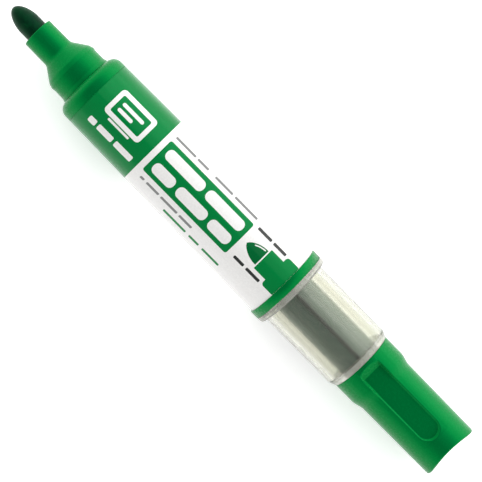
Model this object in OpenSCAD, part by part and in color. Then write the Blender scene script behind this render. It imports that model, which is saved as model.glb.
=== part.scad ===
// Refillable whiteboard marker with a bullet nib, a printed barrel and a screw-on ink cartridge.
// The marker lies along X on the plane Z = 0, nib towards -X, label facing up.
// Every piece is drawn upright, along its own axis: s = 0 is the nib's tip and s = total_len the tail's end.
// lay() then turns it to lie down.

/* [Lengths along the marker] */
// Nib showing in front of the nose
nib_out = 6.9; // [4:0.1:9]
// Nib hidden inside the nose
nib_in = 16; // [13:0.5:21]
// Straight tube at the front of the nose
nose_tube_len = 6; // [4:0.1:9]
// Flare from the tube to the cap seat
nose_flare_len = 4; // [2.5:0.1:5]
// Cap seat, with the small rise behind it
cap_seat_len = 3.9; // [3:0.1:6]
// Barrel, from its front face to the rear of its ring
barrel_len = 58.2; // [48:0.1:75]
// Rim of the clear sleeve
rim_len = 1.4; // [1:0.1:2.5]
// Clear sleeve behind its rim
window_len = 19.7; // [14:0.1:26]
// Tail grip
tail_len = 26.3; // [20:0.1:34]

/* [Outside diameters] */
// Nib
nib_d = 4.9; // [3.6:0.1:5.8]
// Seat that the cap pushes onto
cap_seat_d = 11.5; // [11:0.1:12.4]
// Bead at the front of the cap seat, above the seat
cap_bead = 0.13; // [0.05:0.01:0.25]
// Barrel behind its rounded shoulder
barrel_front_d = 15.7; // [14.6:0.1:16.4]
// Growth of the barrel's diameter from its shoulder to its ring
barrel_taper = 1.5; // [0.6:0.1:2.6]
// Height of the ring above the barrel
ring_step = 0.3; // [0.1:0.05:0.8]
// Clear sleeve
window_d = 15.3; // [14.4:0.1:17]
// Tail grip at its collar
tail_d = 14.1; // [13.6:0.1:15]
// Tail grip behind the collar
grip_d = 13; // [12.6:0.1:13.8]
// Draft of the grip, on the diameter, from the collar to the end
grip_draft = 0.2; // [0:0.05:0.6]
// Ink tank
tank_d = 9.1; // [7.5:0.1:9.6]

/* [Walls] */
// Nose tube
nose_tube_wall = 0.9; // [0.6:0.05:1.4]
// Skirt of the nose
skirt_wall = 0.8; // [0.6:0.05:1.1]
// Barrel at its front end
barrel_wall = 1.3; // [0.9:0.05:1.5]
// Clear sleeve
window_wall = 1.2; // [0.8:0.05:1.5]
// Tank
tank_wall = 0.65; // [0.4:0.05:0.9]
// End of the tail grip, at its thinnest
tail_end_wall = 2; // [1:0.1:3]
// Printed film
label_t = 0.12; // [0.06:0.01:0.2]

/* [Ink feed] */
// Collector
collector_len = 30.3; // [26:0.5:40]
// Collector fin
fin_t = 0.55; // [0.4:0.05:0.8]
// Gap between two fins
fin_gap = 0.5; // [0.3:0.05:0.8]
// Relay core
core_d = 2.4; // [1.8:0.1:2.8]
// Feed pipe wall
pipe_wall = 0.6; // [0.4:0.05:0.8]
// Feed pipe behind its disc
pipe_len = 10; // [8:0.5:14]
// Mixing ball
ball_d = 3.2; // [2.4:0.1:3.6]

/* [Thread between barrel and sleeve] */
// Pitch
pitch = 2.5; // [2:0.1:3.2]
// Length of the male thread
thread_len = 5.4; // [4.5:0.1:7]
// Thread height, from the mean radius to the crest
thread_h = 0.3; // [0.2:0.05:0.35]
// Radial gap between the two threads
thread_gap = 0.12; // [0.1:0.01:0.2]

/* [Grip] */
// Width of each thumb flat
flat_w = 4.6; // [3.5:0.1:6.5]
// Depth of each thumb flat below the grip
flat_depth = 0.85; // [0.6:0.05:1]
// Length of a thumb flat
flat_len = 20; // [12:0.1:22]
// Turn of the flats from straight up
flat_turn = 0; // [-30:1:30]
// Depth of the scallop in the tail's end
scallop = 1.5; // [0.3:0.1:2]

/* [Clearances] */
// Radial gap of a pressed or bonded fit
press_gap = 0.02; // [0.01:0.01:0.03]
// Radial gap of a sliding fit
slide_gap = 0.05; // [0.03:0.01:0.08]
// Radial gap of a loose fit
loose_gap = 0.12; // [0.1:0.01:0.2]
// Axial gap where two pieces end on each other
end_gap = 0.05; // [0.02:0.01:0.1]

/* [Hidden] */
$fn = 96;

green = [0, 0.6, 0.28];
ink_green = [0, 0.2, 0.1];
clear = [0.92, 0.92, 0.88, 0.35];
smoke = [0.42, 0.5, 0.46];
natural = [0.88, 0.88, 0.84];
paper = [0.95, 0.95, 0.94];
rubber = [0.15, 0.15, 0.15];

// Stations along the marker
s_nose = nib_out;
s_flare = s_nose + nose_tube_len;
s_seat = s_flare + nose_flare_len;
s_barrel = s_seat + cap_seat_len;
s_rim = s_barrel + barrel_len;
s_window = s_rim + rim_len;
s_tail = s_window + window_len;
total_len = s_tail + tail_len;
s_nib_end = s_nose + nib_in;

// Small edge breaks
fine_edge = 0.1;
edge = 0.2;
bold_edge = 0.3;
past = 1;                  // cutters run past the faces they cut by this much

// Nib and nose
nib_r = nib_d / 2;
nib_point = 4.45;          // length of the bullet point
nib_fullness = 1.65;       // 2 would make the point half an ellipse
nib_bore_r = nib_r + slide_gap;
tube_r = nib_bore_r + nose_tube_wall;
seat_r = cap_seat_d / 2;
bead_r = seat_r + cap_bead;
nose_step = 0.25;          // the seat's rise to the barrel, and its drop to the skirt
skirt_r = seat_r - nose_step;
skirt_bore_r = skirt_r - skirt_wall;
skirt_len = 17;
flare_r = 1.6;             // hollow at the foot of the flare
s_shelf = s_seat + 1.2;    // inside the nose, where the collector ends
air_groove_r = 0.3;

// Collector and the core through it
collector_r = skirt_bore_r - press_gap;
s_collector = s_shelf + end_gap;
s_collector_end = s_collector + collector_len;
s_core = s_nib_end + end_gap;
collar_t = 2;              // full-width collar at the collector's front
s_hub = s_core + 1;        // rear face of the front hub
hub_r = collector_r - 0.7;
rear_hub_len = 4.5;
s_rear_hub = s_collector_end - rear_hub_len;
stem_r = core_d / 2 + 1;
core_r = core_d / 2;
core_bore_r = core_r + slide_gap;
fin_pitch = fin_t + fin_gap;
fin_zone = s_rear_hub - s_hub;
fin_count = floor((fin_zone - fin_gap) / fin_pitch);
vent_slot_w = 0.6;

// Barrel
barrel_front_r = barrel_front_d / 2;
barrel_rear_r = barrel_front_r + barrel_taper / 2;
ring_r = barrel_rear_r + ring_step;
ring_len = 1.85;
shoulder_r = 2.1;          // rounding of the barrel's front
shoulder_turn = 58;        // the rounding stops this many degrees round, at the front face
front_wall_len = 3.2;
barrel_bore_r = barrel_front_r - barrel_wall;
disc_t = 2;
rear_bore_r = barrel_bore_r + 0.35;
s_shoulder = s_barrel + shoulder_r;
s_label = s_barrel + 3.3;
s_label_end = s_rim - ring_len;
label_front_r = barrel_front_r + barrel_taper / 2 * (s_label - s_shoulder) / (s_label_end - s_shoulder);
label_bed = label_t + press_gap;
axis_h = ring_r;           // the marker lies on its ring

// Thread
thread_lift = 0.05;        // the female thread's crests stand this far outside the bore
thread_r = rear_bore_r + thread_lift + thread_h;
thread_room = 0.8;         // free thread past the male thread's end
thread_overlap = 0.5;      // both threads run into their rims by this much
steps_per_pitch = 12;
sides = 48;

// Feed connector, its seal and the core's end
s_disc = s_collector_end + end_gap;
s_disc_end = s_disc + disc_t;
disc_r = rear_bore_r - press_gap;
cup_len = 3;
cup_wall = 0.8;
cup_r = hub_r + press_gap;
disc_vent_r = 0.4;
disc_vent_inset = 0.9;     // from the disc's edge to a vent's centre
pipe_r = core_bore_r + pipe_wall;
pipe_tip = 0.6;            // length of the pipe's tapered tip
pipe_tip_r = core_bore_r + 0.25;
s_pipe_end = s_disc_end + pipe_len;
core_out = 0.8;            // the core stands out of the pipe by this much
s_core_end = s_pipe_end + core_out;
seal_t = 1;
seal_w = 1.1;

// Clear sleeve
window_r = window_d / 2;
window_bore_r = window_r - window_wall;
male_r = thread_r - thread_gap;
spigot_r = male_r - thread_h - fine_edge;
spigot_wall = 0.65;
spigot_bore_r = spigot_r - spigot_wall;
spigot_blend = 0.8;        // slope from the spigot's bore to the window's
end_flange_t = 1.3;
sleeve_chamfer = 0.55;     // on the radius
sleeve_chamfer_len = 1.2;
rim_round = 0.6;
tank_r = tank_d / 2;
neck_bore_r = tank_r + loose_gap;
neck_wall = 0.6;
neck_r = neck_bore_r + neck_wall;
neck_len = 2;

// Tank, its mouth and its plug
s_mouth = s_disc_end + seal_t + end_gap;
bush_bore_r = pipe_r + slide_gap;
bush_wall = 0.75;
bush_r = bush_bore_r + bush_wall;
mouth_bore_r = bush_r + press_gap;
mouth_wall = 0.7;
mouth_r = mouth_bore_r + mouth_wall;
mouth_len = 4.4;
tank_shoulder = 0.8;       // slope at the tank's front
tank_front_t = 1.2;
tank_bore_r = tank_r - tank_wall;
flange_t = 1;
flange_r = neck_r - fine_edge;
s_flange = s_tail + neck_len + loose_gap;
s_flange_end = s_flange + flange_t;
plug_t = 3;
plug_r = tank_bore_r - press_gap;

// Tail
tail_r = tail_d / 2;
grip_r = grip_d / 2;
grip_end_r = grip_r - grip_draft / 2;
collar_len = 4.6;
collar_blend = 3;
s_blend = s_tail + collar_len;
end_round = 0.35;
socket_r = neck_r + press_gap;
s_socket_end = s_flange_end + loose_gap;
cavity_r = 4.7;
cavity_end = total_len - scallop - tail_end_wall;
scallop_half = grip_end_r - end_round;
scallop_r = (scallop_half * scallop_half + scallop * scallop) / (2 * scallop);
flat_ramp = 1.9;           // length of the slope into a flat
flat_inset = 0.6;          // the slope starts this far behind the tail's front face
flat_draft = 0.35;         // the flat's walls lean outwards by this much, from its floor to the collar

// Ball
ball_r = ball_d / 2;
ball_drop = tank_bore_r - ball_r - slide_gap;
ball_gap = 0.2;
s_ball = s_core_end + ball_r + ball_gap;

// Lies a piece down: its own axis goes along +X, and what faces its -X side faces up.
module lay() translate([-total_len / 2, 0, axis_h]) rotate([0, 90, 0]) children();

// Arc of a profile, as [radius, station] points.
function arc(centre, r, from, to, n = 8) =
    [for (i = [0 : n]) let (a = from + (to - from) * i / n) centre + r * [cos(a), sin(a)]];

// Tube of one bore between two stations.
module tube(r, bore, from, to) translate([0, 0, from]) rotate_extrude()
    polygon([[bore, 0], [r, 0], [r, to - from], [bore, to - from]]);

// Solid of a single-start rounded thread, right-handed: its radius swings by h once a turn and once a pitch.
module thread_solid(r, h, from, to) {
    rows = ceil((to - from) / pitch * steps_per_pitch);
    function at(i, j) =
        let (a = 360 * i / sides, z = from + (to - from) * j / rows, swing = r + h * cos(a - 360 * z / pitch))
        [swing * cos(a), swing * sin(a), z];
    wall = [for (j = [0 : rows]) for (i = [0 : sides - 1]) at(i, j)];
    function v(i, j) = j * sides + i % sides;
    skin = [for (j = [0 : rows - 1]) for (i = [0 : sides - 1]) each
        [[v(i, j), v(i, j + 1), v(i + 1, j + 1)], [v(i, j), v(i + 1, j + 1), v(i + 1, j)]]];
    bottom = [for (i = [0 : sides - 1]) v(i, 0)];
    top = [for (i = [sides - 1 : -1 : 0]) v(i, rows)];
    polyhedron(points = wall, faces = concat(skin, [bottom, top]));
}

// Bullet nib: a round rod whose front narrows to a rounded tip.
module nib() {
    point = [for (a = [0 : 5 : 90])
        [nib_r * sqrt(1 - pow(cos(a), nib_fullness)), nib_point * (1 - cos(a))]];
    foot = [[nib_r, s_nib_end - bold_edge], [nib_r - bold_edge, s_nib_end], [0, s_nib_end]];
    color(ink_green) rotate_extrude() polygon(concat(point, foot));
}

// Nose: the front tube that holds the nib, the flare, the cap seat and a skirt that plugs into the barrel.
module nose_cone() {
    hollow = arc([tube_r + flare_r, s_flare], flare_r, 180, 135, 6);
    seat_chamfer = 0.6;
    base_ramp = 0.9;
    outside = concat(
        [[tube_r - edge, s_nose], [tube_r, s_nose + edge]],
        hollow,
        [[bead_r - 0.42, s_seat - 1.1], [bead_r - 0.2, s_seat - 0.6], [bead_r - 0.05, s_seat - 0.15],
         [bead_r, s_seat + fine_edge], [seat_r, s_seat + seat_chamfer],
         [seat_r, s_barrel - base_ramp], [seat_r + nose_step, s_barrel],
         [skirt_r, s_barrel], [skirt_r, s_barrel + skirt_len]]);
    inside = [[skirt_bore_r, s_barrel + skirt_len], [skirt_bore_r, s_shelf], [nib_bore_r, s_shelf],
              [nib_bore_r, s_nose + edge], [nib_bore_r + edge, s_nose]];
    color(green) difference() {
        rotate_extrude() polygon(concat(outside, inside));
        for (a = [60, 180, 300]) rotate(a) translate([nib_bore_r, 0, s_nose - past])
            cylinder(r = air_groove_r, h = s_shelf - s_nose + 2 * past, $fn = 24);
    }
}

// Collector: a stack of thin fins on a stem, which takes up ink that the warm air in the tank pushes out.
module collector() {
    fins = [for (k = [0 : fin_count - 1]) let (s = s_hub + fin_gap + k * fin_pitch) each
        [[stem_r, s], [collector_r, s], [collector_r, s + fin_t], [stem_r, s + fin_t]]];
    slot_floor = stem_r + bold_edge;
    color(natural) difference() {
        rotate_extrude() polygon(concat(
            [[nib_bore_r, s_collector], [collector_r, s_collector], [collector_r, s_collector + collar_t],
             [hub_r, s_collector + collar_t], [hub_r, s_hub], [stem_r, s_hub]],
            fins,
            [[stem_r, s_rear_hub], [hub_r, s_rear_hub], [hub_r, s_collector_end],
             [core_bore_r, s_collector_end], [core_bore_r, s_core], [nib_bore_r, s_core]]));
        translate([slot_floor, -vent_slot_w / 2, s_hub]) cube([collector_r, vent_slot_w, fin_zone]);
    }
}

// Relay core: the fibre rod that leads ink from the tank to the nib.
module relay_core() color(ink_green) translate([0, 0, s_core])
    cylinder(r = core_r, h = s_core_end - s_core);

// Feed connector: a cup on the collector, a disc that closes the barrel and the pipe that enters the tank.
module feed_connector() color(natural) difference() {
    rotate_extrude() polygon([
        [cup_r, s_disc - cup_len], [cup_r + cup_wall, s_disc - cup_len], [cup_r + cup_wall, s_disc],
        [disc_r, s_disc], [disc_r, s_disc_end], [pipe_r, s_disc_end], [pipe_r, s_pipe_end - pipe_tip],
        [pipe_tip_r, s_pipe_end], [core_bore_r, s_pipe_end], [core_bore_r, s_disc], [cup_r, s_disc]]);
    for (a = [0 : 120 : 240]) rotate(a) translate([disc_r - disc_vent_inset, 0, s_disc - past])
        cylinder(r = disc_vent_r, h = disc_t + 2 * past, $fn = 24);
}

// Rubber ring on the pipe, which the tank's mouth is screwed up against.
module pipe_seal() color(rubber)
    tube(pipe_r + seal_w, pipe_r + press_gap, s_disc_end + press_gap, s_disc_end + seal_t);

// Barrel: a tapered shell with a rounded shoulder in front, a bed for the film and a threaded ring behind.
module barrel() {
    outside = concat(
        [[skirt_r + press_gap, s_barrel]],
        arc([barrel_front_r - shoulder_r, s_shoulder], shoulder_r, -shoulder_turn, 0, 8),
        [[label_front_r, s_label], [label_front_r - label_bed, s_label],
         [barrel_rear_r - label_bed, s_label_end], [ring_r - fine_edge, s_label_end],
         [ring_r, s_label_end + fine_edge], [ring_r, s_rim - fine_edge], [ring_r - fine_edge, s_rim]]);
    inside = [[rear_bore_r, s_rim], [rear_bore_r, s_disc], [barrel_bore_r, s_disc],
              [barrel_bore_r, s_barrel + front_wall_len], [skirt_r + press_gap, s_barrel + front_wall_len]];
    color(green) difference() {
        rotate_extrude() polygon(concat(outside, inside));
        thread_solid(thread_r, thread_h, s_rim - thread_len - thread_room, s_rim + thread_overlap);
    }
}

// Printed film round the barrel, flush with the shoulder in front.
module label() color(paper) rotate_extrude() polygon([
    [label_front_r - label_t, s_label + end_gap], [label_front_r, s_label + end_gap],
    [barrel_rear_r, s_label_end - end_gap], [barrel_rear_r - label_t, s_label_end - end_gap]]);

// Clear sleeve: a rim that meets the barrel's ring, a threaded spigot inside it, and a neck for the tail.
module window_sleeve() {
    s_front = s_rim + end_gap;
    s_spigot = s_rim - thread_len;
    s_end = s_tail - end_gap;
    s_neck_end = s_tail + neck_len;
    color(clear) difference() {
        union() {
            rotate_extrude() polygon(concat(
                [[0, s_front], [ring_r - fine_edge, s_front], [ring_r, s_front + fine_edge]],
                arc([ring_r - rim_round, s_window - rim_round], rim_round, 0, 90, 5),
                [[window_r, s_window], [window_r, s_end - sleeve_chamfer_len],
                 [window_r - sleeve_chamfer, s_end], [neck_r, s_end], [neck_r, s_neck_end], [0, s_neck_end]]));
            thread_solid(male_r, thread_h, s_spigot, s_rim + thread_overlap);
            translate([0, 0, s_spigot]) cylinder(r = spigot_r, h = thread_len + thread_overlap);
        }
        rotate_extrude() polygon([
            [0, s_spigot - past], [spigot_bore_r, s_spigot - past], [spigot_bore_r, s_rim],
            [window_bore_r, s_rim + spigot_blend], [window_bore_r, s_end - end_flange_t],
            [neck_bore_r, s_end - end_flange_t], [neck_bore_r, s_neck_end + past], [0, s_neck_end + past]]);
    }
}

// Cutter for one thumb flat, facing +X: a slope, a flat floor, leaning walls and a round end.
module thumb_flat() {
    floor_x = grip_r - flat_depth;
    start = s_tail + flat_inset;
    stop = start + flat_len;
    far = tail_r + past;
    lean = flat_draft * (far - floor_x) / (tail_r - floor_x);
    half = flat_w / 2;
    intersection() {
        translate([0, half + past, 0]) rotate([90, 0, 0]) linear_extrude(height = flat_w + 2 * past) polygon([
            [tail_r + fine_edge, start], [far, start], [far, stop + past], [floor_x, stop + past],
            [floor_x, start + flat_ramp]]);
        union() {
            translate([0, 0, start]) linear_extrude(height = flat_len - half) polygon([
                [floor_x, -half], [far, -half - lean], [far, half + lean], [floor_x, half]]);
            translate([floor_x, 0, stop - half]) rotate([0, 90, 0])
                cylinder(r1 = half, r2 = half + lean, h = far - floor_x);
        }
    }
}

// Tail grip: a closed cup with a collar, two thumb flats and a scalloped end.
module tail_grip() {
    mid_r = (tail_r + grip_r) / 2;
    steps = 8;
    blend = [for (i = [0 : steps])
        [mid_r + (tail_r - mid_r) * cos(180 * i / steps), s_blend + collar_blend * i / steps]];
    color(green) difference() {
        rotate_extrude() polygon(concat(
            [[socket_r, s_tail], [tail_r - fine_edge, s_tail], [tail_r, s_tail + fine_edge]],
            blend,
            arc([grip_end_r - end_round, total_len - end_round], end_round, 0, 90, 4),
            [[0, total_len], [0, cavity_end], [cavity_r, cavity_end],
             [cavity_r, s_socket_end], [socket_r, s_socket_end]]));
        for (side = [0, 180]) rotate(180 - flat_turn + side) thumb_flat();
        translate([-tail_r - past, 0, total_len + scallop_r - scallop]) rotate([0, 90, 0])
            cylinder(r = scallop_r, h = 2 * (tail_r + past), $fn = 180);
    }
}

// Ink tank: a slim tube with a mouth in front and a flange behind, which the sleeve's neck holds in the tail.
module ink_tank() {
    s_front = s_mouth + mouth_len;
    color(smoke) rotate_extrude() polygon([
        [mouth_bore_r, s_mouth], [mouth_r, s_mouth], [mouth_r, s_front],
        [tank_r - tank_shoulder, s_front], [tank_r, s_front + tank_shoulder],
        [tank_r, s_flange], [flange_r, s_flange], [flange_r, s_flange_end], [tank_bore_r, s_flange_end],
        [tank_bore_r, s_front + tank_front_t], [mouth_bore_r, s_front + tank_front_t]]);
}

// Soft bush in the tank's mouth, which wipes the pipe.
module mouth_bush() color(natural) tube(bush_r, bush_bore_r, s_mouth, s_mouth + mouth_len);

// Plug that closes the tank behind.
module tank_plug() color(natural) rotate_extrude() polygon([
    [0, s_flange_end - plug_t], [plug_r - bold_edge, s_flange_end - plug_t],
    [plug_r, s_flange_end - plug_t + bold_edge], [plug_r, s_flange_end], [0, s_flange_end]]);

// Ball that closes a new tank's mouth. The pipe pushes it in, and it then stirs the ink.
module mixing_ball() color("silver") translate([ball_drop, 0, s_ball]) sphere(r = ball_r);

lay() nib();
lay() nose_cone();
lay() collector();
lay() relay_core();
lay() feed_connector();
lay() pipe_seal();
lay() barrel();
lay() label();
lay() window_sleeve();
lay() tail_grip();
lay() ink_tank();
lay() mouth_bush();
lay() tank_plug();
lay() mixing_ball();
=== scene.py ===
import bpy
import bmesh
import math
from mathutils import Matrix, Vector, geometry


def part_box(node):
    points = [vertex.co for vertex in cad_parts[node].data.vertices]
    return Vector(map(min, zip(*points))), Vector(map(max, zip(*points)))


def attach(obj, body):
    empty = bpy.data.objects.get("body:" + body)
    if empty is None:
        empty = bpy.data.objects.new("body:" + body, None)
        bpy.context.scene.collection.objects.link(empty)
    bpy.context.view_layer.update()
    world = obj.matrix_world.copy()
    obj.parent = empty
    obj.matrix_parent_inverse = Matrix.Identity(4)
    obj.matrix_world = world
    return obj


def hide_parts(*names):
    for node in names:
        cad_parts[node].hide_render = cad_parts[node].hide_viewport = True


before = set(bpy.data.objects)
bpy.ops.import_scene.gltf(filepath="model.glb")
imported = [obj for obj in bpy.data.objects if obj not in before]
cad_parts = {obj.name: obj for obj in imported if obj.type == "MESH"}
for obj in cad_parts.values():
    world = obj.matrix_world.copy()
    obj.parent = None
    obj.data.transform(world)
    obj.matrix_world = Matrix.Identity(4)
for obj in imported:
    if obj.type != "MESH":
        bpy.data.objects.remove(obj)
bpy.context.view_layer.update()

mm = 0.001
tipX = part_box("nib")[0].x                                        # stations are counted from the nib's tip
axisZ = (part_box("barrel")[0].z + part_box("barrel")[1].z) / 2      # height of the marker's axis


def ends(node):
    low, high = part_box(node)
    return (low.x - tipX) / mm, (high.x - tipX) / mm


def radiusOf(node):
    low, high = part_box(node)
    return (high.y - low.y) / 2 / mm


def place(s, r, turn):
    # station and radius in millimetres, turn from straight up towards +Y
    return Vector((tipX + s * mm, r * mm * math.sin(turn), axisZ + r * mm * math.cos(turn)))


def evenTurns(sides):
    return [2 * math.pi * i / sides for i in range(sides)]


def softened(points, steps=5, loop=True):
    # points are (station, radius, rounding): each corner becomes a small arc
    out = []
    count = len(points)
    for i, (s, r, rounding) in enumerate(points):
        if rounding <= 0 or (not loop and i in (0, count - 1)):
            out.append((s, r))
            continue
        corner = Vector((s, r))
        before = Vector(points[i - 1][:2]) - corner
        after = Vector(points[(i + 1) % count][:2]) - corner
        half = before.angle(after) / 2
        cut = min(rounding / math.tan(half), 0.49 * before.length, 0.49 * after.length)
        size = cut * math.tan(half)
        centre = corner + (before.normalized() + after.normalized()).normalized() * (size / math.sin(half))
        first = corner + before.normalized() * cut - centre
        last = corner + after.normalized() * cut - centre
        sweep = first.angle(last)
        for k in range(steps + 1):
            share = k / steps
            spoke = first * math.sin((1 - share) * sweep) + last * math.sin(share * sweep)
            out.append(tuple(centre + spoke / math.sin(sweep)))
    return out


def arc(centreS, centreR, radius, fromDeg, toDeg, steps=12):
    points = []
    for k in range(steps + 1):
        a = math.radians(fromDeg + (toDeg - fromDeg) * k / steps)
        points.append((centreS + radius * math.sin(a), centreR + radius * math.cos(a), 0))
    return points


def meshFromRows(name, rows, loop):
    # rows of points round the axis, where a row of one point closes an end
    bm = bmesh.new()
    made = [[bm.verts.new(p) for p in row] for row in rows]
    pairs = list(zip(made, made[1:])) + ([(made[-1], made[0])] if loop else [])
    for a, b in pairs:
        count = max(len(a), len(b))
        for i in range(count):
            j = (i + 1) % count
            if len(a) == 1:
                bm.faces.new((a[0], b[j], b[i]))
            elif len(b) == 1:
                bm.faces.new((a[i], a[j], b[0]))
            else:
                bm.faces.new((a[i], a[j], b[j], b[i]))
    bmesh.ops.recalc_face_normals(bm, faces=bm.faces)
    return finishMesh(name, bm)


def finishMesh(name, bm):
    for face in bm.faces:
        face.smooth = True
    mesh = bpy.data.meshes.new(name)
    bm.to_mesh(mesh)
    bm.free()
    piece = bpy.data.objects.new(name, mesh)
    bpy.context.scene.collection.objects.link(piece)
    weighted = piece.modifiers.new("weightedNormals", "WEIGHTED_NORMAL")
    weighted.keep_sharp = False
    weighted.weight = 50
    return piece


def turned(name, profile, sides=192, loop=True, shape=None):
    # solid of revolution, where shape(station, radius, turn) may change a radius
    turns = evenTurns(sides)
    rows = []
    for s, r in profile:
        if r <= 0:
            rows.append([place(s, 0, 0)])
            continue
        rows.append([place(s, shape(s, r, t) if shape else r, t) for t in turns])
    return meshFromRows(name, rows, loop)


def settle(piece, body, slot, material, *nodes):
    piece.data.materials.append(material)
    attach(piece, body)
    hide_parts(*nodes)
    return piece


def linear(hexColour):
    out = []
    for i in (0, 2, 4):
        c = int(hexColour[i + 1:i + 3], 16) / 255
        out.append(c / 12.92 if c <= 0.04045 else ((c + 0.055) / 1.055) ** 2.4)
    return (*out, 1)


def add(tree, kind, values=None, links=None, **settings):
    node = tree.nodes.new("ShaderNode" + kind)
    for key, value in settings.items():
        setattr(node, key, value)
    for socket, value in (values or {}).items():
        node.inputs[socket].default_value = value
    for socket, source in (links or {}).items():
        tree.links.new(source, node.inputs[socket])
    return node


def startMaterial(name):
    material = bpy.data.materials.new(name)
    material.use_nodes = True
    material.node_tree.nodes.clear()
    return material, material.node_tree


def finishMaterial(tree, shader):
    add(tree, "OutputMaterial", links={"Surface": shader.outputs[0]})


def colourRamp(tree, source, stops):
    # stops are (position, colour), with the colour linear
    ramp = add(tree, "ValToRGB", links={"Fac": source})
    elements = ramp.color_ramp.elements
    while len(elements) < len(stops):
        elements.new(0.5)
    for element, (at, colour) in zip(elements, stops):
        element.position = at
        element.color = colour
    return ramp


def fadeBetween(tree, source, stops):
    return colourRamp(tree, source, [(at, linear(hexColour)) for at, hexColour in stops])


def mapRange(tree, source, low, high):
    return add(tree, "MapRange", {"To Min": low, "To Max": high}, {"Value": source})


greenPlastic = {
    # seen square on it is deep; at a slant the colour is painted brighter, a painted glow that stands in
    # for the light that wanders in the wall
    "shadesWithPaintedLight": [(0.0, "#005e2c"), (0.04, "#00642e"), (0.14, "#007a36"), (0.3, "#00803a"), (1.0, "#007836")],
    "shine": "#00f080",      # the pigment near the surface tints its own shine
    "gloss": 0.24,
    "roughness": 0.26,
    "peelMm": 0.55,          # size of the faint waves that the mould leaves
    "flowMm": 9,             # size of the slow changes of shade
}


def mouldedPolypropylene(name, values):
    # translucent moulded polypropylene, polished mould: colour painted brighter towards the edges as a
    # painted glow, soft shine with a faint orange peel
    material, tree = startMaterial(name)
    where = add(tree, "TexCoord").outputs["Object"]
    peel = add(tree, "TexNoise", {"Scale": 1 / (values["peelMm"] * mm), "Detail": 2, "Roughness": 0.4},
               {"Vector": where})
    flow = add(tree, "TexNoise", {"Scale": 1 / (values["flowMm"] * mm), "Detail": 3}, {"Vector": where})
    # painted glow: the colour ramp runs from deep where the surface faces the eye to brighter where it is
    # seen at a slant
    slant = add(tree, "LayerWeight", {"Blend": 0.5})
    drift = mapRange(tree, flow.outputs["Fac"], -0.02, 0.02)
    share = add(tree, "Math", links={0: slant.outputs["Facing"], 1: drift.outputs[0]}, operation="ADD")
    colour = fadeBetween(tree, share.outputs[0], values["shadesWithPaintedLight"])
    rough = mapRange(tree, peel.outputs["Fac"], values["roughness"] - 0.03, values["roughness"] + 0.05)
    bump = add(tree, "Bump", {"Strength": 0.12, "Distance": 0.02 * mm}, {"Height": peel.outputs["Fac"]})
    shader = add(tree, "BsdfPrincipled", {
        "IOR": 1.49, "Specular IOR Level": values["gloss"], "Specular Tint": linear(values["shine"])}, {
        "Base Color": colour.outputs["Color"], "Roughness": rough.outputs[0], "Normal": bump.outputs[0]})
    finishMaterial(tree, shader)
    return material


inkedFibre = {
    "dark": "#00110a",
    "light": "#003216",
    "shine": "#5fe0a0",
    "sheen": "#3fb67c",
    "fibreMm": 0.09,         # real fibres are about 0.02 mm thick: drawn coarser, so that they show
    "fibreLengthMm": 1.6,
    "roughness": 0.42,
}


def inkedPolyesterFibre(name, values):
    # bonded polyester fibre, ground to a bullet and soaked in ink: near-black green with silky streaks
    material, tree = startMaterial(name)
    where = add(tree, "TexCoord").outputs["Object"]
    long = 1 / (values["fibreLengthMm"] * mm)
    thin = 1 / (values["fibreMm"] * mm)
    stretched = add(tree, "Mapping", {"Scale": (long, thin, thin)}, {"Vector": where})
    fibres = add(tree, "TexNoise", {"Scale": 1, "Detail": 4, "Roughness": 0.6},
                 {"Vector": stretched.outputs[0]})
    patches = add(tree, "TexNoise", {"Scale": 1 / (1.5 * mm), "Detail": 2}, {"Vector": where})
    both = add(tree, "Math", links={0: fibres.outputs["Fac"], 1: patches.outputs["Fac"]},
               operation="MULTIPLY")
    colour = fadeBetween(tree, both.outputs[0], [(0.12, values["dark"]), (0.42, values["light"])])
    rough = mapRange(tree, fibres.outputs["Fac"], values["roughness"] - 0.1, values["roughness"] + 0.16)
    bump = add(tree, "Bump", {"Strength": 0.5, "Distance": 0.04 * mm}, {"Height": fibres.outputs["Fac"]})
    shader = add(tree, "BsdfPrincipled", {
        "IOR": 1.45, "Specular IOR Level": 0.3, "Specular Tint": linear(values["shine"]),
        "Sheen Weight": 0.06, "Sheen Tint": linear(values["sheen"])}, {
        "Base Color": colour.outputs["Color"], "Roughness": rough.outputs[0], "Normal": bump.outputs[0]})
    finishMaterial(tree, shader)
    return material


def printedFilm(name, hexColour, shine, roughness=0.2):
    # printed polypropylene film under a clear lacquer: even ink with a fine print grain and a smooth gloss
    material, tree = startMaterial(name)
    where = add(tree, "TexCoord").outputs["Object"]
    grain = add(tree, "TexNoise", {"Scale": 1 / (0.35 * mm), "Detail": 3}, {"Vector": where})
    wave = add(tree, "TexNoise", {"Scale": 1 / (6 * mm), "Detail": 2}, {"Vector": where})
    light = fadeBetween(tree, grain.outputs["Fac"], [(0.2, "#f2f2f2"), (0.8, "#ffffff")])
    ink = add(tree, "Mix", {"Factor": 1.0, "A": linear(hexColour)}, {"B": light.outputs["Color"]},
              data_type="RGBA", blend_type="MULTIPLY")
    rough = mapRange(tree, grain.outputs["Fac"], roughness - 0.03, roughness + 0.05)
    bump = add(tree, "Bump", {"Strength": 0.15, "Distance": 0.03 * mm}, {"Height": wave.outputs["Fac"]})
    shader = add(tree, "BsdfPrincipled", {
        "IOR": 1.49, "Specular IOR Level": 0.35, "Specular Tint": linear(shine), "Coat Weight": 0.12,
        "Coat Roughness": 0.12}, {
        "Base Color": ink.outputs["Result"], "Roughness": rough.outputs[0], "Normal": bump.outputs[0]})
    finishMaterial(tree, shader)
    return material


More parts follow.
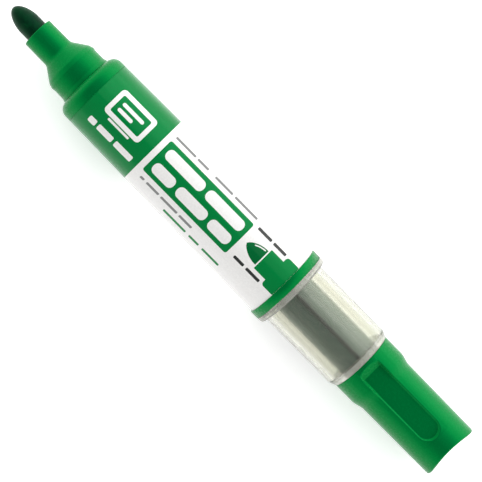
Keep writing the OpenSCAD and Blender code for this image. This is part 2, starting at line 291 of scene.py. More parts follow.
def clearPolypropylene(name, clarity):
    # clarified polypropylene, moulded: clear, warm grey, softly blurred, with faint lines along the part
    material, tree = startMaterial(name)
    where = add(tree, "TexCoord").outputs["Object"]
    thin = 1 / (0.7 * mm)
    stretched = add(tree, "Mapping", {"Scale": (1 / (40 * mm), thin, thin)}, {"Vector": where})
    lines = add(tree, "TexNoise", {"Scale": 1, "Detail": 2}, {"Vector": stretched.outputs[0]})
    colour = fadeBetween(tree, lines.outputs["Fac"], [(0.35, "#e2e2d4"), (0.65, "#f7f7ee")])
    rough = mapRange(tree, lines.outputs["Fac"], 0.1, 0.2)
    bump = add(tree, "Bump", {"Strength": 0.3, "Distance": 0.03 * mm}, {"Height": lines.outputs["Fac"]})
    shader = add(tree, "BsdfPrincipled", {"IOR": 1.45, "Transmission Weight": clarity}, {
        "Base Color": colour.outputs["Color"], "Roughness": rough.outputs[0], "Normal": bump.outputs[0]})
    finishMaterial(tree, shader)
    return material


tankInkAndPaintedLight = [
    # colour by the turn round the tube, as a share of a full turn from straight below: darker on the -Y
    # half where the ink is, a narrow near-black line along the top, and painted light on the +Y side
    # towards the main lamp, with a painted soft highlight
    (0.0, "#7f958a"), (0.34, "#577466"), (0.42, "#426354"), (0.486, "#385a4b"), (0.492, "#0c2419"),
    (0.509, "#0c2419"), (0.522, "#537063"), (0.58, "#7c9286"), (0.70, "#93a598"), (1.0, "#7f958a")]


def tankFinishWithPaintedLight(name, shadesWithPaintedLight):
    # moulded translucent polypropylene with ink clinging inside: milky grey-green, darker where the ink is,
    # and painted lighter on the side towards the main lamp
    material, tree = startMaterial(name)
    where = add(tree, "TexCoord").outputs["Object"]
    split = add(tree, "SeparateXYZ", links={"Vector": where})
    high = add(tree, "Math", {1: axisZ}, {0: split.outputs["Z"]}, operation="SUBTRACT")
    turn = add(tree, "Math", links={0: split.outputs["Y"], 1: high.outputs[0]}, operation="ARCTAN2")
    wander = add(tree, "TexNoise", {"Scale": 1 / (7 * mm), "Detail": 3}, {"Vector": where})
    drift = mapRange(tree, wander.outputs["Fac"], -0.03, 0.03)
    moved = add(tree, "Math", links={0: turn.outputs[0], 1: drift.outputs[0]}, operation="ADD")
    share = add(tree, "MapRange", {"From Min": -math.pi, "From Max": math.pi}, {"Value": moved.outputs[0]})
    # painted light: the ramp lightens the side towards the main lamp
    colour = fadeBetween(tree, share.outputs[0], shadesWithPaintedLight)
    rough = mapRange(tree, wander.outputs["Fac"], 0.22, 0.34)
    bump = add(tree, "Bump", {"Strength": 0.2, "Distance": 0.03 * mm}, {"Height": wander.outputs["Fac"]})
    shader = add(tree, "BsdfPrincipled", {"IOR": 1.49}, {
        "Base Color": colour.outputs["Color"], "Roughness": rough.outputs[0], "Normal": bump.outputs[0]})
    finishMaterial(tree, shader)
    return material


def naturalPolyethylene(name):
    # unpigmented moulded polyethylene: waxy milk-white, satin, a little light goes in
    material, tree = startMaterial(name)
    where = add(tree, "TexCoord").outputs["Object"]
    cloud = add(tree, "TexNoise", {"Scale": 1 / (1.6 * mm), "Detail": 3}, {"Vector": where})
    colour = fadeBetween(tree, cloud.outputs["Fac"], [(0.3, "#dcdccf"), (0.7, "#e9e9df")])
    rough = mapRange(tree, cloud.outputs["Fac"], 0.36, 0.5)
    bump = add(tree, "Bump", {"Strength": 0.2, "Distance": 0.03 * mm}, {"Height": cloud.outputs["Fac"]})
    shader = add(tree, "BsdfPrincipled", {
        "IOR": 1.51, "Subsurface Weight": 0.25, "Subsurface Scale": 0.6 * mm}, {
        "Base Color": colour.outputs["Color"], "Roughness": rough.outputs[0], "Normal": bump.outputs[0]})
    finishMaterial(tree, shader)
    return material


def mouldedRubber(name):
    # moulded nitrile rubber: matt charcoal with a dusty bloom
    material, tree = startMaterial(name)
    where = add(tree, "TexCoord").outputs["Object"]
    bloom = add(tree, "TexNoise", {"Scale": 1 / (0.5 * mm), "Detail": 4}, {"Vector": where})
    colour = fadeBetween(tree, bloom.outputs["Fac"], [(0.3, "#1f1f1f"), (0.75, "#343434")])
    rough = mapRange(tree, bloom.outputs["Fac"], 0.6, 0.8)
    bump = add(tree, "Bump", {"Strength": 0.3, "Distance": 0.03 * mm}, {"Height": bloom.outputs["Fac"]})
    shader = add(tree, "BsdfPrincipled", {"IOR": 1.52}, {
        "Base Color": colour.outputs["Color"], "Roughness": rough.outputs[0], "Normal": bump.outputs[0]})
    finishMaterial(tree, shader)
    return material


def polishedSteel(name):
    # lapped stainless steel ball: bright, with traces of lapping
    material, tree = startMaterial(name)
    where = add(tree, "TexCoord").outputs["Object"]
    lapping = add(tree, "TexNoise", {"Scale": 1 / (0.25 * mm), "Detail": 3}, {"Vector": where})
    colour = fadeBetween(tree, lapping.outputs["Fac"], [(0.3, "#c2c4c6"), (0.7, "#cfd0d2")])
    rough = mapRange(tree, lapping.outputs["Fac"], 0.08, 0.16)
    shader = add(tree, "BsdfPrincipled", {"Metallic": 1.0}, {
        "Base Color": colour.outputs["Color"], "Roughness": rough.outputs[0]})
    finishMaterial(tree, shader)
    return material


def opalAcrylic(name, glow):
    # opal acrylic sheet lit from below, as a light table's: even white with no gloss and hardly a shadow
    material, tree = startMaterial(name)
    where = add(tree, "TexCoord").outputs["Object"]
    cloud = add(tree, "TexNoise", {"Scale": 1 / (60 * mm), "Detail": 3}, {"Vector": where})
    colour = fadeBetween(tree, cloud.outputs["Fac"], [(0.2, "#f8f8f8"), (0.8, "#fcfcfc")])
    bump = add(tree, "Bump", {"Strength": 0.05, "Distance": 0.02 * mm}, {"Height": cloud.outputs["Fac"]})
    shader = add(tree, "BsdfPrincipled", {
        "Roughness": 0.85, "Specular IOR Level": 0.1, "Emission Color": linear("#ffffff"),
        "Emission Strength": glow}, {"Base Color": colour.outputs["Color"], "Normal": bump.outputs[0]})
    finishMaterial(tree, shader)
    return material


green = mouldedPolypropylene("mouldedPolypropylene", greenPlastic)
fibre = inkedPolyesterFibre("inkedPolyesterFibre", inkedFibre)
natural = naturalPolyethylene("naturalPolyethylene")
print("materials ready")

nibShape = {
    "point": 4.45,        # length of the bullet point
    "fullness": 1.65,     # 2 would make the point half an ellipse
    "foot": 0.3,          # rounding of the foot
}


def makeNib():
    r = radiusOf("nib")
    foot = ends("nib")[1]
    steps = 36
    point = [(0, 0)]
    for k in range(1, steps + 1):
        reach = math.cos(math.radians(90 * k / steps)) if k < steps else 0.0
        point.append((nibShape["point"] * (1 - reach), r * math.sqrt(1 - reach ** nibShape["fullness"])))
    rod = softened([point[-1] + (0,), (foot, r, nibShape["foot"]), (foot, 0, 0)], loop=False)[1:]
    piece = turned("bulletNib", point + rod, sides=96, loop=False)
    settle(piece, "nib", "inked_fibre", fibre, "nib")


makeNib()
print("nib ready")

noseShape = {
    "tubeWall": 0.9,
    "nibGap": 0.05,
    "tubeEnd": 12.95,       # station where the flare starts
    "kneeS": 15.95,          # station and radius where the flare turns into the seat's bead
    "kneeR": 5.55,
    "seatR": 5.75,
    "bead": 0.13,
    "beadS": 17.0,
    "rise": 0.25,           # the seat's rise to the barrel
    "skirtWall": 0.8,
    "shelf": 18.1,          # station inside where the collector ends
    "grooveR": 0.3,         # three air grooves along the nib
}


def makeNose():
    v = noseShape
    front, rear = ends("nose_cone")
    seatEnd = ends("barrel")[0]
    bore = radiusOf("nib") + v["nibGap"]
    tube = bore + v["tubeWall"]
    seat = v["seatR"]
    bead = seat + v["bead"]
    skirt = seat - v["rise"]
    inner = skirt - v["skirtWall"]

    def grooved(s, r, turn):
        if r > bore + 0.25 or s > v["shelf"] + 0.01:
            return r
        for middle in (0, 120, 240):
            off = abs((turn - math.radians(middle) + math.pi) % (2 * math.pi) - math.pi)
            side = r * math.sin(off)
            if off < 1 and side < v["grooveR"]:
                return r * math.cos(off) + math.sqrt(v["grooveR"] ** 2 - side ** 2)
        return r

    outside = [
        (front, bore, 0.12), (front, tube, 0.22), (v["tubeEnd"], tube + 0.04, 1.6),
        (v["kneeS"], v["kneeR"], 0.9), (v["beadS"], bead, 0.35), (v["beadS"] + 0.5, seat, 0.3),
        (seatEnd - 0.9, seat, 0.6), (seatEnd, seat + v["rise"], 0.06), (seatEnd, skirt, 0.05),
        (rear, skirt, 0.1), (rear, inner, 0.1), (v["shelf"], inner, 0.1), (v["shelf"], bore, 0.05)]
    piece = turned("noseCone", softened(outside, 6), sides=240, shape=grooved)
    settle(piece, "barrel", "green_plastic", green, "nose_cone")


makeNose()
print("nose ready")

threadShape = {            # shared by the barrel and the sleeve
    "pitch": 2.5,
    "height": 0.3,         # from the mean to a crest
    "gap": 0.12,
    "length": 5.4,
    "room": 0.8,           # the barrel's thread runs on this much deeper
}
barrelShape = {
    "frontR": 7.85,        # behind the shoulder
    "rearR": 8.6,          # in front of the ring
    "shoulderR": 2.1,
    "shoulderTurn": 58,
    "wall": 1.3,
    "frontWall": 3.2,
    "bed": 0.14,           # depth of the bed that the film lies in
    "cup": 3.0,            # length of the feed's cup, behind which the bore is wider
    "rearStep": 0.35,      # by this much
    "edge": 0.14,
}
rearBore = barrelShape["frontR"] - barrelShape["wall"] + barrelShape["rearStep"]
threadMean = rearBore + 0.05 + threadShape["height"]


def threadWave(s, turn):
    return -threadShape["height"] * math.cos(turn + 2 * math.pi * s / threadShape["pitch"])


def threadRows(fromS, toS, perPitch=20):
    count = max(2, round(abs(toS - fromS) / threadShape["pitch"] * perPitch))
    return [fromS + (toS - fromS) * k / count for k in range(count + 1)]


def makeBarrel():
    v = barrelShape
    front, rear = ends("barrel")
    labelFront, labelRear = ends("label")
    shoulder = front + v["shoulderR"]
    bedFrontS, bedRearS = labelFront - 0.05, labelRear + 0.05
    slope = (v["rearR"] - v["frontR"]) / (bedRearS - shoulder)
    bedFrontR = v["frontR"] + slope * (bedFrontS - shoulder)
    skirt = noseShape["seatR"] - noseShape["rise"] + 0.02
    ring = radiusOf("barrel")
    discFront = ends("feed_connector")[0] + v["cup"]
    bore = v["frontR"] - v["wall"]
    outside = [(front, skirt, 0.03), (front + 0.03, noseShape["seatR"] + noseShape["rise"] + 0.2, 0.1)]
    outside += arc(shoulder, v["frontR"] - v["shoulderR"], v["shoulderR"], -v["shoulderTurn"], 0, 18)
    outside += [
        (bedFrontS, bedFrontR, 0.04), (bedFrontS, bedFrontR - v["bed"], 0.02),
        (bedRearS, v["rearR"] - v["bed"], 0.02), (bedRearS, ring, v["edge"]), (rear, ring, v["edge"])]
    threadStart = rear - threadShape["length"] - threadShape["room"]
    female = [(s, threadMean, 0) for s in threadRows(rear, threadStart)]
    inside = [
        (threadStart, rearBore, 0), (discFront, rearBore, 0.05), (discFront, bore, 0.05),
        (front + v["frontWall"], bore, 0.1), (front + v["frontWall"], skirt, 0.03)]

    def threaded(s, r, turn):
        if abs(r - threadMean) < 1e-6 and s >= threadStart - 1e-6:
            return r + threadWave(s, turn)
        return r

    profile = softened(outside, 4, loop=False) + [(s, r) for s, r, _ in female]
    profile += softened(inside, 4, loop=False)
    piece = turned("barrelShell", profile, sides=192, shape=threaded)
    settle(piece, "barrel", "green_plastic", green, "barrel")


makeBarrel()
print("barrel ready")

filmShape = {
    "thickness": 0.12,
    "frontEnd": 39.9,      # station where the green front of the print ends
    "stepDeg": 3,
    "rings": (30, 50, 60, 70),     # stations of the mesh's own rings
    "printStart": 62.2,    # station and scale of the print's own grid
    "printScale": 0.977,
}
filmInks = {
    "printedFilmWhite": ("#f1f0ee", "#ffffff"),      # colour of the ink and of its shine
    "printedFilmGreen": ("#007a39", "#35d98a"),
    "printedFilmDeepGreen": ("#00602e", "#35d98a"),
    "printedFilmGrey": ("#7d7f7e", "#ffffff"),
    "printedFilmBlack": ("#262a28", "#ffffff"),
}
inkWhite, inkGreen, inkDeep, inkGrey, inkBlack = range(len(filmInks))


def box(x0, x1, y0, y1, corner=0.0, lean=0.0):
    # outline with rounded corners, x along the marker from its middle, y across it
    corner = max(0.0, min(corner, abs(x1 - x0) / 2 - 0.001, abs(y1 - y0) / 2 - 0.001))
    points = []
    for cx, cy, start in ((x1, y1, 0), (x0, y1, 90), (x0, y0, 180), (x1, y0, 270)):
        sx, sy = (-1 if cx == x1 else 1), (-1 if cy == y1 else 1)
        steps = 6 if corner > 0 else 0
        for k in range(steps + 1):
            a = math.radians(start + (90 * k / steps if steps else 45))
            px = cx + sx * corner + (corner * math.cos(a) if steps else 0)
            py = cy + sy * corner + (corner * math.sin(a) if steps else 0)
            points.append((px + lean * (py - y0), py))
    return points


def stroke(line, width):
    # outline of a pen stroke of even width with round ends
    half = width / 2
    left, right = [], []
    for i, p in enumerate(line):
        a = Vector(line[max(0, i - 1)])
        b = Vector(line[min(len(line) - 1, i + 1)])
        d = (b - a).normalized()
        n = Vector((-d.y, d.x)) * half
        left.append(tuple(Vector(p) + n))
        right.append(tuple(Vector(p) - n))

    def cap(at, towards):
        base = math.atan2(towards.y, towards.x)
        return [(at[0] + half * math.cos(base + a), at[1] + half * math.sin(base + a))
                for a in (math.radians(60), math.radians(30), 0, math.radians(-30), math.radians(-60))]

    lastWay = Vector(line[-1]) - Vector(line[-2])
    firstWay = Vector(line[0]) - Vector(line[1])
    return left + cap(line[-1], lastWay) + right[::-1] + cap(line[0], firstWay)


def bullet(x, y, length, half, steps=12):
    # outline of a bullet, with its point at x, y
    points = [(x, y)]
    for k in range(1, steps + 1):
        points.append((x + length * k / steps, y + half * math.sin(math.pi / 2 * (k / steps) ** 0.72)))
    for k in range(steps, 0, -1):
        points.append((x + length * k / steps, y - half * math.sin(math.pi / 2 * (k / steps) ** 0.72)))
    return points


def printShapes():
    # later shapes lie on top of earlier ones
    shapes = []
    # board pictogram on the green front: a framed panel with two lines on it
    shapes.append((box(-35.6, -25.8, -1.5, 4.7, 0.9), inkWhite))
    shapes.append((box(-34.6, -26.8, -0.5, 3.7, 0.35), inkGreen))
    shapes.append((box(-33.6, -27.8, 1.9, 2.7, 0.4), inkWhite))
    shapes.append((box(-33.6, -29.6, 0.45, 1.25, 0.4), inkWhite))
    shapes.append((box(-33.6, -27.8, -2.25, -1.75, 0.2), inkWhite))
    # plain bars below it
    for x0, x1 in ((-36.5, -34.6), (-34.0, -29.9), (-29.2, -24.4)):
        shapes.append((box(x0, x1, -5.2, -3.95, 0.3), inkWhite))
    # green block with rows of plain bars
    shapes.append((box(-21.5, 2.5, -4.3, 4.0, 0.5), inkGreen))
    for x0, x1 in ((-20.4, -9.9), (-8.9, 1.4)):
        shapes.append((box(x0, x1, 0.5, 3.0, 1.1), inkWhite))
    for x0, x1 in ((-20.4, -14.6), (-13.6, -5.4), (-4.4, 1.4)):
        shapes.append((box(x0, x1, -3.35, -0.85, 1.1), inkWhite))
    # fine lines of print, as bars
    for x0, x1 in ((-21.2, -15.6), (-15.0, -11.9), (-9.9, -4.9), (-4.2, 2.2)):
        shapes.append((box(x0, x1, 4.95, 5.45, 0.2), inkGrey))
    for x0, x1 in ((3.6, 7.4), (8.0, 11.5)):
        shapes.append((box(x0, x1, 3.85, 4.5, 0.2), inkBlack))
    for x0, x1 in ((4.1, 6.9), (7.6, 11.4)):
        shapes.append((box(x0, x1, -3.75, -3.1, 0.2), inkBlack))
    for x0, x1 in ((-20.8, -19.7), (-19.0, -15.5), (-14.9, -10.2), (-9.6, -6.0)):
        shapes.append((box(x0, x1, -5.85, -5.35, 0.2, 0.2), inkGrey))
    # nib pictogram, which runs into the ring
    shapes.append((bullet(3.95, 0.35, 4.4, 1.95), inkDeep))
    shapes.append((stroke([(5.6, 1.25), (6.3, 1.6), (7.2, 1.83), (7.8, 1.9)], 0.26), inkWhite))
    shapes.append((box(8.62, 12.4, -2.25, 2.95, 0.1), inkGreen))
    shapes.append((box(12.0, 15.6, -3.5, 4.25, 0.75), inkGreen))
    # a row of plain bars at the lower edge
    for x0, x1 in ((-12.6, -6.2), (-5.2, -2.4), (-1.4, 3.4)):
        shapes.append((box(x0, x1, -7.3, -6.85, 0.15), inkGreen))
    return shapes


def inside(x, y, outline):
    hit = False
    px, py = outline[-1]
    for qx, qy in outline:
        if (qy > y) != (py > y) and x < (px - qx) * (y - qy) / (py - qy) + qx:
            hit = not hit
        px, py = qx, qy
    return hit


def makeFilm():
    v = filmShape
    front, rear = ends("label")
    rearR = radiusOf("label")
    run = rear - ends("barrel")[0] - barrelShape["shoulderR"]
    slope = (barrelShape["rearR"] - barrelShape["frontR"]) / run
    meanR = (rearR + barrelShape["frontR"]) / 2
    limit = math.pi * meanR

    def outerR(s):
        return rearR - slope * (rear - s)

    def flat(x, y):
        s = v["printStart"] + v["printScale"] * x
        r = outerR(s)
        return s, meanR * math.asin(max(-0.999, min(0.999, v["printScale"] * y / r)))

    points, edges = [], []

    def addLine(line, closed):
        base = len(points)
        points.extend(Vector(p) for p in line)
        count = len(line)
        edges.extend((base + k, base + (k + 1) % count) for k in range(count if closed else count - 1))

    turns = [math.radians(-180 + v["stepDeg"] * k) for k in range(round(360 / v["stepDeg"]) + 1)]
    for t in turns:
        addLine([(front, t * meanR), (rear, t * meanR)], False)
    for s in (front, rear, v["frontEnd"], *v["rings"]):
        addLine([(s, -limit), (s, limit)], False)
    shapes = []
    for outline, ink in printShapes():
        held = [flat(x, y) for x, y in outline]
        held = [(min(s, rear - 0.01), a) for s, a in held]
        addLine(held, True)
        low = (min(s for s, _ in held), min(a for _, a in held))
        high = (max(s for s, _ in held), max(a for _, a in held))
        shapes.append((held, ink, low, high))
    found = geometry.delaunay_2d_cdt(points, edges, [], 0, 1e-6)
    places, faces = found[0], found[2]

    bm = bmesh.new()
    outer = [bm.verts.new(place(p.x, outerR(p.x), p.y / meanR)) for p in places]
    for face in faces:
        x = sum(places[k].x for k in face) / len(face)
        a = sum(places[k].y for k in face) / len(face)
        ink = inkGreen if x < v["frontEnd"] else inkWhite
        for held, colour, low, high in reversed(shapes):
            if low[0] < x < high[0] and low[1] < a < high[1] and inside(x, a, held):
                ink = colour
                break
        made = bm.faces.new([outer[k] for k in face])
        made.material_index = ink
    thick = v["thickness"]
    under = {}
    for end in (front, rear):
        under[end] = [bm.verts.new(place(end, outerR(end) - thick, t)) for t in turns[:-1]]
    rims = {}
    for end in (front, rear):
        edge = sorted((p.y, k) for k, p in enumerate(places) if abs(p.x - end) < 1e-5)
        rims[end] = [outer[k] for _, k in edge]
    count = len(turns) - 1
    for end in (front, rear):
        rim, low = rims[end], under[end]
        if len(rim) != count + 1:
            raise ValueError("the film's rim has stray points")
        for k in range(count):
            made = bm.faces.new((rim[k], rim[k + 1], low[(k + 1) % count], low[k]))
            made.material_index = inkGreen if end == front else inkWhite
    for k in range(count):
        j = (k + 1) % count
        made = bm.faces.new((under[front][k], under[front][j], under[rear][j], under[rear][k]))
        made.material_index = inkWhite
    bmesh.ops.remove_doubles(bm, verts=bm.verts, dist=1e-7)
    bmesh.ops.recalc_face_normals(bm, faces=bm.faces)
    for face in bm.faces:
        face.smooth = True
    mesh = bpy.data.meshes.new("barrelFilm")
    bm.to_mesh(mesh)
    bm.free()
    piece = bpy.data.objects.new("barrelFilm", mesh)
    bpy.context.scene.collection.objects.link(piece)
    # the film is a true cone, so its normals are set from that
    normals = []
    for polygon in mesh.polygons:
        across = polygon.normal
        for index in polygon.loop_indices:
            co = mesh.vertices[mesh.loops[index].vertex_index].co
            out = Vector((0, co.y, co.z - axisZ)).normalized()
            cone = (out - Vector((slope, 0, 0))).normalized()
            if across.dot(cone) > 0.9:
                normals.append(cone)
            elif across.dot(cone) < -0.9:
                normals.append(-cone)
            else:
                normals.append(across.copy())
    mesh.normals_split_custom_set(normals)
    inks = [printedFilm(name, *look) for name, look in filmInks.items()]
    settle(piece, "barrel", "printed_film", inks[0], "label")
    for ink in inks[1:]:
        piece.data.materials.append(ink)


makeFilm()
print("film ready")

sleeveShape = {
    "outerR": 7.65,
    "wall": 1.2,
    "rimLength": 1.4,
    "rimRound": 0.6,
    "chamfer": 0.55,
    "chamferLength": 1.2,
    "neckWall": 0.6,
    "neckGap": 0.12,
    "spigotWall": 0.65,
    "flange": 1.3,
    "clarity": 0.96,
    "thickClarity": 0.74,      # the plastic looks milky where it is thick
}


def makeSleeve():
    v = sleeveShape
    start, rear = ends("window_sleeve")
    rimFront = ends("barrel")[1] + 0.05
    rimRear = rimFront - 0.05 + v["rimLength"]
    shoulder = ends("tail_grip")[0] - 0.05
    ring = radiusOf("window_sleeve")
    mean = threadMean - threadShape["gap"]
    root = mean - threadShape["height"] - 0.1
    bore = root - v["spigotWall"]
    wide = v["outerR"] - v["wall"]
    neckBore = tankShape["radius"] + v["neckGap"]
    neck = neckBore + v["neckWall"]
    male = [(s, mean, 0) for s in threadRows(start + 0.15, rimFront - 0.02)]
    outside = [
        (rimFront, mean + 0.1, 0), (rimFront, ring, 0.12), (rimRear, ring, v["rimRound"]),
        (rimRear, v["outerR"], 0.12), (shoulder - v["chamferLength"], v["outerR"], 0.5),
        (shoulder, v["outerR"] - v["chamfer"], 0.12), (shoulder, neck, 0.05),
        (rear, neck, 0.1), (rear, neckBore, 0.1), (shoulder - v["flange"], neckBore, 0.1),
        (shoulder - v["flange"], wide, 0.25), (rimFront + 0.8, wide, 0.4), (rimFront - 0.05, bore, 0.4),
        (start, bore, 0.1), (start, root, 0)]

    def threaded(s, r, turn):
        if abs(r - mean) < 1e-6 and s < rimFront:
            return r + threadWave(s, turn)
        return r

    profile = [(s, r) for s, r, _ in male] + softened(outside, 6, loop=False)
    piece = turned("clearSleeve", profile, sides=240, shape=threaded)
    clear = clearPolypropylene("clearPolypropylene", v["clarity"])
    settle(piece, "grip", "clear_plastic", clear, "window_sleeve")
    # it is thick in the rim and in the end wall
    piece.data.materials.append(clearPolypropylene("thickPolypropylene", v["thickClarity"]))
    for face in piece.data.polygons:
        s = (face.center.x - tipX) / mm
        if rimFront - 0.1 < s < rimRear + 0.2 or s > shoulder - v["flange"] - 0.1:
            face.material_index = 1


tankShape = {
    "radius": 4.55,
    "wall": 0.65,
    "mouthR": 3.37,
    "mouthBore": 2.67,
    "mouthLength": 4.4,
    "slope": 0.8,
    "front": 1.2,
    "flange": 1.0,
}


def makeTank():
    v = tankShape
    front, rear = ends("ink_tank")
    body = front + v["mouthLength"]
    bore = v["radius"] - v["wall"]
    flangeS = rear - v["flange"]
    flangeR = radiusOf("ink_tank")
    outside = [
        (front, v["mouthBore"], 0.1), (front, v["mouthR"], 0.15), (body, v["mouthR"], 0.3),
        (body, v["radius"] - v["slope"], 0.2), (body + v["slope"], v["radius"], 0.4),
        (flangeS, v["radius"], 0.1), (flangeS, flangeR, 0.1), (rear, flangeR, 0.1), (rear, bore, 0.1),
        (body + v["front"], bore, 0.3), (body + v["front"], v["mouthBore"], 0.1)]
    piece = turned("inkTank", softened(outside, 5), sides=144)
    settle(piece, "tank", "tank_plastic", tankFinishWithPaintedLight("inkedPolypropyleneWithPaintedLight", tankInkAndPaintedLight), "ink_tank")


makeSleeve()
makeTank()
print("sleeve and tank ready")

tailShape = {
    "gripR": 6.5,
    "endR": 6.4,
    "collarLength": 4.6,
    "collarBlend": 3.0,
    "endRound": 0.35,
    "scallop": 1.5,
    "endWall": 2.0,
    "socketR": 5.29,
    "socketEnd": 3.24,
    "cavityR": 4.7,
    "flatHalf": 2.27,
    "flatDepth": 0.85,
    "flatStart": 0.6,
    "flatLength": 20,
    "flatRamp": 1.9,
    "flatTurn": 0,
    "flatEdge": 0.5,       # width of the rounded edge round a flat
}


def smooth(x):
    x = max(0.0, min(1.0, x))
    return x * x * (3 - 2 * x)


def makeTail():
    v = tailShape
    front, rear = ends("tail_grip")
    collar = radiusOf("tail_grip")
    grip, endR = v["gripR"], v["endR"]
    blendS = front + v["collarLength"]
    straight = blendS + v["collarBlend"]
    start = front + v["flatStart"]
    stop = start + v["flatLength"]
    half, edge = v["flatHalf"], v["flatEdge"]
    floor = grip - v["flatDepth"]
    reach = endR - v["endRound"]
    scallopR = (reach ** 2 + v["scallop"] ** 2) / (2 * v["scallop"])

    def wallR(s):
        if s < blendS:
            return collar
        if s < straight:
            along = math.cos(math.pi * (s - blendS) / v["collarBlend"])
            return (collar + grip) / 2 + (collar - grip) / 2 * along
        return grip + (endR - grip) * (s - straight) / (rear - straight)

    def endS(y):
        return rear - v["scallop"] + scallopR - math.sqrt(scallopR ** 2 - min(abs(y), reach) ** 2)

    def pocket(s, y, h):
        # height of the surface at this place, with a thumb flat sunk into it
        if h <= floor or s < start - 0.4 or s > stop + edge:
            return h
        if s > stop - half:
            side = math.hypot(y, s - (stop - half)) - half
        else:
            side = abs(y) - half
        wall = smooth((side + 0.1) / edge)
        depth = (h - floor) * (1 - wall)
        ramp = (s - start) * (collar + 0.1 - floor) / v["flatRamp"]
        allowed = max(0.0, collar + 0.1 - ramp - floor)
        soft = 0.12
        gap = depth - allowed * (1 - wall)
        sunk = max(0.0, gap) if abs(gap) > soft else (gap + soft) ** 2 / (4 * soft)
        if s < start - 0.2:
            sunk = 0.0
        return h - sunk

    # turns are closer together along the walls of the flats
    quarter = []
    y = 0.0
    while y < half + edge:
        quarter.append(math.asin(y / grip))
        y += 0.06 if y > half - 0.25 else 0.14
    left = math.pi / 2 - quarter[-1]
    sides = math.ceil(left / math.radians(2.2))
    quarter += [quarter[-1] + left * k / sides for k in range(1, sides + 1)]
    turns = []
    for base in (0, math.pi):
        turns += [base + a for a in quarter]
        turns += [base + math.pi - a for a in reversed(quarter[1:-1])]
    lean = math.radians(v["flatTurn"])

    def surface(s, r, turn):
        # turn is counted from the flats' own middle
        h, y = r * math.cos(turn), r * math.sin(turn)
        high = math.copysign(pocket(s, y, abs(h)), h)
        return place(s, math.hypot(high, y), math.atan2(y, high) + lean)

    stations = [front + 0.12, front + 0.3, start - 0.1]
    s = start - 0.1
    while s < start + v["flatRamp"] + 0.5:
        s += 0.1
        stations.append(s)
    while s < stop - half - 0.6:
        s += 0.3 if s < straight + 0.3 else 0.8
        stations.append(s)
    while s < stop + edge + 0.1:
        s += 0.09
        stations.append(s)
    last = s

    rows = []
    cavityEnd = rear - v["scallop"] - v["endWall"]
    rows.append([place(cavityEnd, 0, 0)])
    cavity = softened([
        (cavityEnd, 0, 0), (cavityEnd, v["cavityR"], 0.4), (front + v["socketEnd"], v["cavityR"], 0.1),
        (front + v["socketEnd"], v["socketR"], 0.1), (front, v["socketR"], 0.1), (front, collar, 0.12),
        (front + 0.3, collar, 0)], 4, loop=False)[1:-1]
    for cs, cr in cavity:
        rows.append([place(cs, cr, t + lean) for t in turns])
    for ws in stations[1:]:
        rows.append([surface(ws, wallR(ws), t) for t in turns])
    for k in range(1, 13):
        share = k / 12
        row = []
        for t in turns:
            stopS = endS(reach * math.sin(t + lean)) - v["endRound"]
            ws = last + (stopS - last) * share
            row.append(surface(ws, wallR(ws), t))
        rows.append(row)
    for k in range(1, 7):
        a = math.radians(15 * k)
        row = []
        for t in turns:
            rimS = endS(reach * math.sin(t + lean)) - v["endRound"]
            r = wallR(rimS) - v["endRound"] * (1 - math.cos(a))
            row.append(place(rimS + v["endRound"] * math.sin(a), r, t + lean))
        rows.append(row)
    for k in range(1, 16):
        r = (wallR(rear) - v["endRound"]) * (1 - k / 16)
        rows.append([place(endS(r * math.sin(t + lean)), r, t + lean) for t in turns])
    rows.append([place(rear - v["scallop"], 0, 0)])
    piece = meshFromRows("tailGrip", rows, loop=False)
    settle(piece, "grip", "green_plastic", green, "tail_grip")


makeTail()
print("tail ready")

# the inner pieces keep their CAD shapes and only get a finish
finishes = {
    "collector": natural,
    "feed_connector": natural,
    "mouth_bush": natural,
    "tank_plug": natural,
    "relay_core": fibre,
    "pipe_seal": mouldedRubber("mouldedRubber"),
    "mixing_ball": polishedSteel("polishedSteel"),
}
for node, material in finishes.items():
    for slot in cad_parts[node].material_slots:
        slot.material = material
print("inner pieces ready")

studio = {
    "floorSide": 3.0,
    "floorGap": 0.0001,        # the table lies just under the marker
    "tableGlow": 0.45,
    "mainWatts": 0.6,
    "tentStrength": 2.6,
    "tentEnds": 0.9,
    # light of the tent's cloth by the angle from overhead, in degrees towards the far side
    "tent": [(-90, 1.7), (-76, 1.6), (-66, 0.65), (-4, 0.4), (-1.5, 0.15), (1.5, 0.15), (5, 1.25),
             (45, 1.5), (66, 1.7), (76, 2.3), (90, 2.4)],
}


def makeFloor():
    half = studio["floorSide"] / 2
    bm = bmesh.new()
    corners = ((-half, -half), (half, -half), (half, half), (-half, half))
    bm.faces.new([bm.verts.new((x, y, -studio["floorGap"])) for x, y in corners])
    mesh = bpy.data.meshes.new("floor")
    bm.to_mesh(mesh)
    bm.free()
    floor = bpy.data.objects.new("floor", mesh)
    floor.data.materials.append(opalAcrylic("opalAcrylic", studio["tableGlow"]))
    bpy.context.scene.collection.objects.link(floor)


def softBox(name, at, target, size, watts):
    light = bpy.data.lights.new(name, "AREA")
    light.shape = "RECTANGLE"
    light.size, light.size_y = size
    light.energy = watts
    lamp = bpy.data.objects.new(name, light)
    lamp.location = at
    lamp.rotation_euler = (Vector(target) - Vector(at)).to_track_quat("-Z", "Y").to_euler()
    bpy.context.scene.collection.objects.link(lamp)


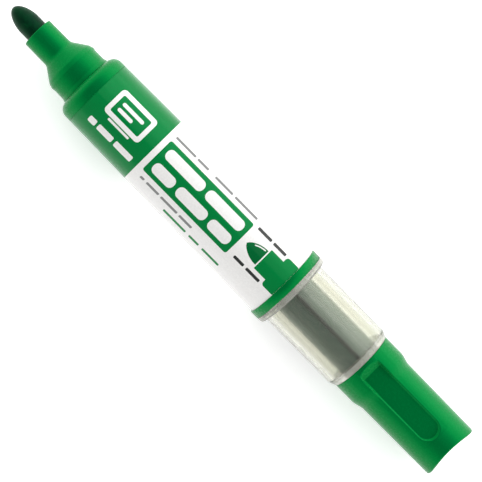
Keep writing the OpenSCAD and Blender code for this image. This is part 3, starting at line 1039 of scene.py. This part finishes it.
def makeStudio():
    # a light tent: its cloth is brighter on the far side and near the table, and dim overhead
    v = studio
    middle = Vector((0, 0, axisZ))
    softBox("mainSoftBox", (0.0, 0.45, 0.45), middle, (0.60, 0.40), v["mainWatts"])
    world = bpy.data.worlds.new("studio")
    world.use_nodes = True
    tree = world.node_tree
    tree.nodes.clear()
    everywhere = add(tree, "TexCoord").outputs["Generated"]
    way = add(tree, "SeparateXYZ", links={"Vector": everywhere})
    turn = add(tree, "Math", links={0: way.outputs["Y"], 1: way.outputs["Z"]}, operation="ARCTAN2")
    share = add(tree, "MapRange", {"From Min": -math.pi / 2, "From Max": math.pi / 2},
                {"Value": turn.outputs[0]})
    stops = []
    for degrees, light in v["tent"]:
        level = light / v["tentStrength"]
        stops.append(((degrees + 90) / 180, (level, level, level, 1)))
    ramp = colourRamp(tree, share.outputs[0], stops)
    along = add(tree, "Math", links={0: way.outputs["X"]}, operation="ABSOLUTE")
    toEnds = add(tree, "MapRange", {"From Min": 0.6, "From Max": 0.95}, {"Value": along.outputs[0]})
    even = v["tentEnds"] / v["tentStrength"]
    cloth = add(tree, "Mix", {"B": (even, even, even, 1)},
                {"Factor": toEnds.outputs[0], "A": ramp.outputs["Color"]}, data_type="RGBA")
    glow = add(tree, "Background", {"Strength": v["tentStrength"]}, {"Color": cloth.outputs["Result"]})
    add(tree, "OutputWorld", links={"Surface": glow.outputs[0]})
    bpy.context.scene.world = world


cameraSetting = {
    "at": (-20.9, -0.24, 388.9),       # millimetres
    "aim": (2.35, -0.24, 8.9),
    "turnDeg": 45.52,                  # the marker's axis runs this far below level in the frame
    "viewDeg": 14.62,
}


def makeCamera():
    v = cameraSetting
    at, aim = Vector(v["at"]) * mm, Vector(v["aim"]) * mm
    back = (at - aim).normalized()
    a = math.radians(v["turnDeg"])
    up = Vector((-math.sin(a), math.cos(a), 0))
    right = up.cross(back).normalized()
    up = back.cross(right)
    data = bpy.data.cameras.new("camera")
    data.sensor_width = 36
    data.angle = math.radians(v["viewDeg"])
    camera = bpy.data.objects.new("camera", data)
    turn = Matrix((right, up, back)).transposed().to_4x4()
    camera.matrix_world = Matrix.Translation(at) @ turn
    bpy.context.scene.collection.objects.link(camera)
    bpy.context.scene.camera = camera


makeFloor()
makeStudio()
makeCamera()
bpy.context.scene.view_settings.view_transform = "Standard"
print("studio ready")
